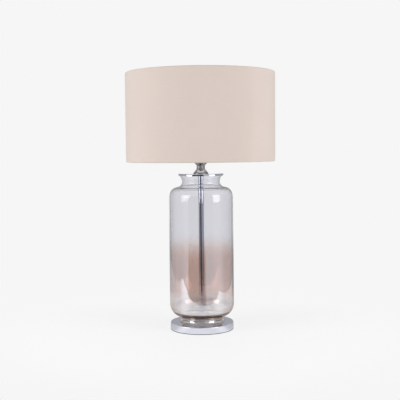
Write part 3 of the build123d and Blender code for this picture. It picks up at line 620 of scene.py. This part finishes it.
def cloth_line():
    """The cloth's middle line, as radius, height and normal, from the lower tuck to the upper one."""
    outer = SHADE_RADIUS - CLOTH_THICKNESS / 2
    wrap = outer - HOOP_RADIUS
    tuck_radius = HOOP_RADIUS - HOOP_WIRE - HOOP_GAP - CLOTH_THICKNESS / 2
    inner = HOOP_RADIUS - tuck_radius
    lower_centre = SHADE_LOW + wrap + CLOTH_THICKNESS / 2
    upper_centre = SHADE_HIGH - wrap - CLOTH_THICKNESS / 2
    ends = []
    for centre, turn in ((lower_centre, -1.0), (upper_centre, 1.0)):
        end = []
        for step in range(TUCK_STEPS):
            height = centre - turn * (TUCK_HEIGHT - wrap) * (1.0 - step / TUCK_STEPS)
            end.append((tuck_radius, height, (-1.0, 0.0)))
        for step in range(FOLD_STEPS + 1):
            angle = math.radians(180.0 * step / FOLD_STEPS)
            reach = inner + (wrap - inner) * step / FOLD_STEPS
            out, rise = -math.cos(angle), turn * math.sin(angle)
            end.append((HOOP_RADIUS + reach * out, centre + wrap * rise, (out, rise)))
        ends.append(end)
    lower, upper = ends
    low_z, high_z = lower[-1][1], upper[-1][1]
    wall = []
    for step in range(1, WALL_STEPS):
        wall.append((outer, low_z + (high_z - low_z) * step / WALL_STEPS, (1.0, 0.0)))
    return lower + wall + upper[::-1]


def cloth_columns():
    """Angles of the columns from one cut edge to the other, with one at each side of every notch."""
    overlap = math.degrees(SEAM_OVERLAP / SHADE_RADIUS)
    first, last = SEAM_ANGLE, SEAM_ANGLE + 360.0 + overlap
    notch = math.degrees(NOTCH_HALF_WIDTH / HOOP_RADIUS)
    fixed = [first, last]
    for arm in ARM_ANGLES:
        turn = arm if arm > first else arm + 360.0
        fixed += [turn - notch, turn + notch]
    angles = list(fixed)
    for step in range(1, int(last - first) + 1):
        angle = first + step
        if min(abs(angle - other) for other in fixed) > CLOSEST_COLUMNS:
            angles.append(angle)
    return sorted(angles), last - overlap


def cloth_points(line, columns, overlap_start):
    """Outer and inner point at each place of the line, slightly slack and lifted at the overlap."""
    half = CLOTH_THICKNESS / 2
    points = []
    for angle in columns:
        turn = math.radians(angle)
        direction = Vector((math.cos(turn), math.sin(turn), 0.0))
        climb = min(1.0, max(0.0, (angle - overlap_start + SEAM_CLIMB) / SEAM_CLIMB))
        lift = (CLOTH_THICKNESS + SEAM_GAP) * climb * climb * (3.0 - 2.0 * climb)
        for radius, height, (out, rise) in line:
            spot = direction * SLACK_AROUND + Vector((0.0, 0.0, height * SLACK_UPWARD))
            broad = BROAD_SLACK * max(0.0, noise.noise(spot))
            slack = broad + FINE_SLACK * max(0.0, noise.noise(spot * SLACK_FINER))
            for side in (half + lift + slack, lift + slack - half):
                at_side = direction * (radius + out * side)
                points.append(tuple(at_side + Vector((0.0, 0.0, height + rise * side))))
    return points


def cloth_faces(rows, columns):
    """Both sides of the cloth, then its tucked edges, its two cut ends and the sides of the notches."""
    notch = math.degrees(NOTCH_HALF_WIDTH / HOOP_RADIUS) + NOTCH_MARGIN
    notch_rows = TUCK_STEPS + FOLD_STEPS // 2 + 1
    last = len(columns) - 1
    faces = []

    def quad(*corners, flip=False):
        face = tuple((column * rows + row) * 2 + layer for column, row, layer in corners)
        faces.append(face[::-1] if flip else face)

    def cut_away(column, row):
        middle = (columns[column] + columns[column + 1]) / 2
        near = any(abs((middle - arm + 180.0) % 360.0 - 180.0) < notch for arm in ARM_ANGLES)
        return near and row < notch_rows

    def side_edge(column, count, flip):
        for row in range(count):
            above = row + 1
            quad((column, row, 0), (column, row, 1), (column, above, 1), (column, above, 0), flip=flip)

    for column in range(last):
        after = column + 1
        for row in range(rows - 1):
            if not cut_away(column, row):
                quad((column, row, 0), (column, row + 1, 0), (after, row + 1, 0), (after, row, 0))
                quad((column, row, 1), (after, row, 1), (after, row + 1, 1), (column, row + 1, 1))
    for column in range(last):
        after = column + 1
        low, high = (notch_rows if cut_away(column, 0) else 0), rows - 1
        quad((column, low, 0), (after, low, 0), (after, low, 1), (column, low, 1))
        quad((column, high, 0), (column, high, 1), (after, high, 1), (after, high, 0))
    side_edge(0, rows - 1, False)
    side_edge(last, rows - 1, True)
    for column in range(1, last):
        before, after = cut_away(column - 1, 0), cut_away(column, 0)
        if before != after:
            side_edge(column, notch_rows, after)
    return faces


def make_shade_cloth():
    line = cloth_line()
    columns, overlap_start = cloth_columns()
    points = cloth_points(line, columns, overlap_start)
    piece = add_piece("shade_cloth", points, cloth_faces(len(line), columns), FINISHES["fabric"])
    piece.data.validate()
    piece.data.set_sharp_from_angle(angle=math.radians(SHARP_ANGLE))
    return piece


shade_cloth = make_shade_cloth()
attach(shade_cloth, "root")
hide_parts("shade_fabric")


# Lustre on the glass

def film_line():
    """Radius and height of the film: foot flare, waist, round bottom and straight wall."""
    bend_x, bend_z = GLASS_RADIUS - GLASS_BEND, GLASS_LOW + GLASS_BEND
    fillet_x, reach = FOOT_RADIUS + FOOT_FILLET, GLASS_BEND + FOOT_FILLET
    waist = bend_z - math.sqrt(reach**2 - (fillet_x - bend_x) ** 2)
    fillet_turn = math.asin((bend_z - waist) / reach)
    flare = ((waist - FOOT_SEAT) ** 2 + FOOT_SPREAD**2) / (2 * FOOT_SPREAD)
    flare_x, flare_turn = FOOT_RADIUS + flare, math.asin((waist - FOOT_SEAT) / flare) * FLARE_SHARE
    outside, bend, fillet = GLASS_RADIUS + FILM_GAP, GLASS_BEND + FILM_GAP, FOOT_FILLET - FILM_GAP
    line = []
    for step in range(FLARE_STEPS + 1):
        angle = flare_turn * (1.0 - step / FLARE_STEPS)
        radius = flare_x - (flare - FILM_GAP) * math.cos(angle)
        line.append((radius, waist - (flare - FILM_GAP) * math.sin(angle)))
    for step in range(1, FILLET_STEPS + 1):
        angle = fillet_turn * step / FILLET_STEPS
        line.append((fillet_x - fillet * math.cos(angle), waist + fillet * math.sin(angle)))
    for step in range(1, BEND_STEPS + 1):
        angle = fillet_turn * (step / BEND_STEPS - 1.0)
        line.append((bend_x + bend * math.cos(angle), bend_z + bend * math.sin(angle)))
    low, top = line[-1][1], LUSTRE_TOP + FILM_RUN_OUT
    for step in range(1, FILM_WALL_STEPS + 1):
        line.append((outside, low + (top - low) * step / FILM_WALL_STEPS))
    return line


def make_lustre_film():
    """The thin metal film fired onto the glass, from the foot up to where it fades out."""
    line = film_line()
    points, faces = [], []
    for radius, height in line:
        for segment in range(FILM_SEGMENTS):
            turn = math.tau * segment / FILM_SEGMENTS
            points.append((radius * math.cos(turn), radius * math.sin(turn), height))
    for row in range(len(line) - 1):
        this, above = row * FILM_SEGMENTS, (row + 1) * FILM_SEGMENTS
        for segment in range(FILM_SEGMENTS):
            beside = (segment + 1) % FILM_SEGMENTS
            faces.append((this + segment, this + beside, above + beside, above + segment))
    return add_piece("lustre_film", points, faces, copper_lustre())


lustre_film = make_lustre_film()
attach(lustre_film, "root")


# Stage: table, softboxes, room and camera

PAPER_WHITE = 0.9216

# Brightness of the studio's walls, by bearing from the lamp in degrees: 0 is towards the
# camera and 90 to its right
WALL_LEVELS = [
    (-180, 0.92), (-158, 0.92), (-150, 0.40), (-126, 0.40), (-112, 0.42), (-95, 0.45),
    (-72, 0.45), (-63, 0.51), (-48, 0.55), (-45, 0.03), (12, 0.03), (15, 0.58),
    (32, 0.58), (38, 0.58), (50, 0.57), (60, 0.59), (70, 0.59), (81, 0.42),
    (90, 0.35), (112, 0.34), (150, 0.38), (158, 0.92), (180, 0.92),
]
WALL_BLUE = 1.03

# Shares of a direction: up and back over the backdrop, and up at the ceiling
BACKDROP_TOP, BACKDROP_REACH = (0.05, 0.12), (0.5, 0.8)
UPPER_BACKDROP = rgb(0.41, 0.41, 0.43)
CEILING, CEILING_COLOUR = (0.32, 0.5), rgb(0.9, 0.9, 0.92)
ROOM_COLOUR = rgb(0.46, 0.455, 0.45)

# Table: it is lit near the lamp and plain white farther out
TABLE_REACH = 8.0
LIT_AWAY, LIT_SHARE, LIT_LIFT = (0.25, 0.6), 0.28, 0.33
LIT_WHITE, BOUNCE_WHITE = rgb(0.95, 0.95, 0.95), rgb(0.8, 0.8, 0.8)

# Edges where polished metal sees the table end. The front one slants back to both sides, and
# the left one leans.
FRONT_EDGE, RIGHT_SLANT, LEFT_SLANT = (-0.434, -0.446), 0.22, -0.11
LEFT_EDGE, LEFT_LEAN = (-0.818, -0.848), -0.06
RIGHT_EDGE = (0.56, 0.585)

# Painted reflections of the softboxes and painted shade on the table, as that metal sees it. A bearing is
# in radians to either side of the front, an away is a distance from the axis, and MIDDLE goes from left to
# right.
MIDDLE = (-0.05, 0.05)
GLOW_START, GLOW_END, GLOW_AWAY = (0.55, 0.9), (1.05, 1.5), (0.13, 0.25)
GLOW_GROWTH, GLOW_LEAST, GLOW_AT_FOOT = 0.6, 0.25, 0.3
SIDE_BEARING, SIDE_AWAY, SIDE_DIM = (0.95, 1.35), (0.12, 0.3), 0.34
REAR_BEARING, REAR_DIM = (1.6, 1.85), 0.1
FAR_BEARING, FAR_AWAY, FAR_DIM = (0.95, 1.5), (0.46, 0.62), 0.3
FAR_REAR_BEARING, FAR_REAR_SHARE, FAR_RIGHT_SHARE = (1.75, 2.3), 0.7, 0.3
RIM_BEARING, RIM_DIM = (2.0, 2.5), 0.33

# Softboxes stand on a circle round the lamp and look at one point of its axis
SOFTBOX_AWAY, SOFTBOX_HEIGHT, SOFTBOX_WIDTH, AIM_HEIGHT = 1.5, 0.68, 0.8, 0.45
SOFTBOX_COLOUR = (0.985, 0.985, 1.04)

CAMERA_PLACE = (-0.0026, -1.927, 0.4373)
CAMERA_DOWN, CAMERA_ROLL = 3.655, -0.52
CAMERA_LENS, CAMERA_SENSOR = 71.505, 36.0


def make_studio_walls():
    """How bright the studio is in each direction from the lamp, with a greyer wall above the backdrop."""
    tree, enter, leave = start_group("studio_walls", [("Toward", VECTOR, None)], [("Colour", COLOUR)])
    parts = split(tree, enter["Toward"])
    bearing = math_node(tree, "ARCTAN2", parts["X"], times(tree, parts["Y"], -1.0))
    share = times_plus(tree, bearing, 1.0 / math.tau, 0.5)
    stops = []
    for angle, level in WALL_LEVELS:
        stops.append(((angle + 180.0) / 360.0, rgb(level, level, level * WALL_BLUE)))
    over_backdrop = span(tree, parts["Z"], *BACKDROP_TOP)
    behind = times(tree, over_backdrop, span(tree, parts["Y"], *BACKDROP_REACH))
    walls = mix_colour(tree, behind, ramp(tree, share, stops), UPPER_BACKDROP)
    set_inputs(tree, leave, {"Colour": walls})
    return tree


STUDIO_WALLS = make_studio_walls()


def table_edges(tree, spot):
    """Mask of what lies past the table's front, left and right edge."""
    rightward = times(tree, math_node(tree, "MAXIMUM", spot["X"], 0.0), RIGHT_SLANT)
    leftward = times(tree, math_node(tree, "MINIMUM", spot["X"], 0.0), LEFT_SLANT)
    slant = plus(tree, rightward, leftward)
    past_front = span(tree, minus(tree, spot["Y"], slant), *FRONT_EDGE)
    past_left = span(tree, times_plus(tree, spot["Y"], LEFT_LEAN, spot["X"]), *LEFT_EDGE)
    past_right = span(tree, spot["X"], *RIGHT_EDGE)
    past_side = math_node(tree, "MAXIMUM", past_left, past_right)
    return math_node(tree, "MAXIMUM", past_front, past_side)


def table_painted_reflection(tree, bearing, away):
    """Painted reflection of the softboxes on the table: a brighter area in front of each side of the lamp,
    which grows with the distance.
    """
    glow = span(tree, bearing, *GLOW_START, smooth=True)
    glow = times(tree, glow, span(tree, bearing, *GLOW_END, 1.0, 0.0, smooth=True))
    glow = times(tree, glow, times_plus(tree, away, GLOW_GROWTH, GLOW_LEAST))
    return times(tree, glow, span(tree, away, *GLOW_AWAY, GLOW_AT_FOOT, 1.0))


def table_painted_shade(tree, bearing, away, rightward):
    """Painted shade on the table: how much darker it is beside the foot, behind it, far to the sides and
    at the right rear.
    """
    side = span(tree, bearing, *SIDE_BEARING, smooth=True)
    side = times(tree, side, span(tree, away, *SIDE_AWAY, SIDE_DIM, 0.0, smooth=True))
    rear = span(tree, bearing, *REAR_BEARING, 0.0, REAR_DIM, smooth=True)
    far = span(tree, bearing, *FAR_BEARING, smooth=True)
    far = times(tree, far, span(tree, away, *FAR_AWAY, 0.0, FAR_DIM, smooth=True))
    far = times(tree, far, span(tree, rightward, *MIDDLE, 1.0, FAR_RIGHT_SHARE))
    far = times(tree, far, span(tree, bearing, *FAR_REAR_BEARING, 1.0, FAR_REAR_SHARE))
    rim = span(tree, bearing, *RIM_BEARING, 0.0, RIM_DIM)
    rim = times(tree, rim, span(tree, rightward, *MIDDLE))
    return plus(tree, plus(tree, plus(tree, side, rear), far), rim)


def white_table():
    """Plain white that takes the lamp's shadow near it. Polished metal sees it end at its edges, with
    painted reflections of the softboxes and painted shade on it.
    """
    material = bpy.data.materials.new("white_table")
    tree = empty_tree(material)
    path = place(tree, "ShaderNodeLightPath").outputs
    seen = math_node(tree, "MAXIMUM", path["Is Camera Ray"], path["Is Glossy Ray"])
    seen = math_node(tree, "MAXIMUM", seen, path["Is Transmission Ray"])
    mirrored = math_node(tree, "MINIMUM", path["Glossy Depth"], 1.0)
    where = object_place(tree)
    spot, away = split(tree, where), length(tree, where)
    frontward = times(tree, spot["Y"], -1.0)
    bearing = math_node(tree, "ARCTAN2", math_node(tree, "ABSOLUTE", spot["X"]), frontward)
    near = span(tree, away, *LIT_AWAY, LIT_SHARE, 0.0, smooth=True)
    past_edge = times(tree, mirrored, table_edges(tree, spot))
    on_table = times(tree, mirrored, minus(tree, 1.0, past_edge))
    bright = times_plus(tree, near, LIT_LIFT, PAPER_WHITE)
    # Painted reflection of the softboxes, seen only in reflections
    bright = times_plus(tree, table_painted_reflection(tree, bearing, away), on_table, bright)
    # Painted shade, seen only in reflections
    painted_shade = times(tree, table_painted_shade(tree, bearing, away, spot["X"]), on_table)
    bright = minus(tree, bright, painted_shade)
    walls = use_group(tree, STUDIO_WALLS, {"Toward": where})
    colour = mix_colour(tree, past_edge, rgb(1.0, 1.0, 1.0), walls["Colour"])
    plain = place(tree, "ShaderNodeEmission", {"Color": colour, "Strength": bright})
    lit = place(tree, "ShaderNodeBsdfDiffuse", {"Color": LIT_WHITE})
    shown = place(tree, "ShaderNodeMixShader", {0: near, 1: plain.outputs[0], 2: lit.outputs[0]})
    bounce = place(tree, "ShaderNodeBsdfDiffuse", {"Color": BOUNCE_WHITE})
    both = place(tree, "ShaderNodeMixShader", {0: seen, 1: bounce.outputs[0], 2: shown.outputs[0]})
    place(tree, "ShaderNodeOutputMaterial", {"Surface": both.outputs[0]})
    return material


def make_table_top():
    reach = TABLE_REACH
    corners = [(-reach, -reach, 0.0), (reach, -reach, 0.0), (reach, reach, 0.0), (-reach, reach, 0.0)]
    add_piece("table_top", corners, [(0, 1, 2, 3)], white_table(), smooth=False)


def make_room():
    """White background for the camera and through the glass; for polished metal the studio's walls."""
    world = bpy.data.worlds.new("studio")
    bpy.context.scene.world = world
    tree = empty_tree(world)
    toward = place(tree, "ShaderNodeTexCoord").outputs["Generated"]
    walls = use_group(tree, STUDIO_WALLS, {"Toward": toward})
    ceiling = span(tree, split(tree, toward)["Z"], *CEILING, smooth=True)
    reflected = mix_colour(tree, ceiling, walls["Colour"], CEILING_COLOUR)
    path = place(tree, "ShaderNodeLightPath").outputs
    mirrored = math_node(tree, "MINIMUM", path["Glossy Depth"], 1.0)
    through = times(tree, path["Is Transmission Ray"], minus(tree, 1.0, mirrored))
    straight = math_node(tree, "MAXIMUM", path["Is Camera Ray"], through)
    past_glass = times(tree, path["Is Transmission Ray"], mirrored)
    polished = math_node(tree, "MAXIMUM", path["Is Glossy Ray"], past_glass)
    ambient = mix_colour(tree, polished, ROOM_COLOUR, reflected)
    colour = mix_colour(tree, straight, ambient, rgb(PAPER_WHITE, PAPER_WHITE, PAPER_WHITE))
    light = place(tree, "ShaderNodeBackground", {"Color": colour, "Strength": 1.0})
    place(tree, "ShaderNodeOutputWorld", {"Surface": light.outputs[0]})


def make_softbox(name, bearing, power, tall, mirrored):
    """A softbox; one that isn't mirrored only fills the light on matt surfaces."""
    data = bpy.data.lights.new(name, "AREA")
    data.shape = "RECTANGLE"
    data.size, data.size_y = SOFTBOX_WIDTH, tall
    data.energy = power
    data.color = SOFTBOX_COLOUR
    box = bpy.data.objects.new(name, data)
    turn = math.radians(bearing)
    box.location = (SOFTBOX_AWAY * math.sin(turn), -SOFTBOX_AWAY * math.cos(turn), SOFTBOX_HEIGHT)
    aim = Vector((0.0, 0.0, AIM_HEIGHT)) - box.location
    box.rotation_euler = aim.to_track_quat("-Z", "Y").to_euler()
    box.visible_camera = False
    box.visible_glossy = mirrored
    box.visible_transmission = mirrored
    bpy.context.scene.collection.objects.link(box)


def make_camera():
    data = bpy.data.cameras.new("lamp_camera")
    data.sensor_width = CAMERA_SENSOR
    data.lens = CAMERA_LENS
    camera = bpy.data.objects.new("lamp_camera", data)
    pitch, roll = math.radians(90.0 - CAMERA_DOWN), math.radians(CAMERA_ROLL)
    turn = Matrix.Rotation(pitch, 4, "X") @ Matrix.Rotation(roll, 4, "Z")
    camera.matrix_world = Matrix.Translation(CAMERA_PLACE) @ turn
    bpy.context.scene.collection.objects.link(camera)
    bpy.context.scene.camera = camera


make_table_top()
make_room()
make_softbox("softbox_left", -60.0, power=5.28, tall=0.96, mirrored=True)
make_softbox("softbox_right", 57.0, power=5.28, tall=0.96, mirrored=True)
make_softbox("fill_left", -60.0, power=5.3, tall=0.8, mirrored=False)
make_softbox("fill_right", 57.0, power=5.0, tall=0.8, mirrored=False)
make_softbox("fill_back", 180.0, power=3.2, tall=0.8, mirrored=False)
make_camera()
bpy.context.scene.view_settings.view_transform = "Standard"
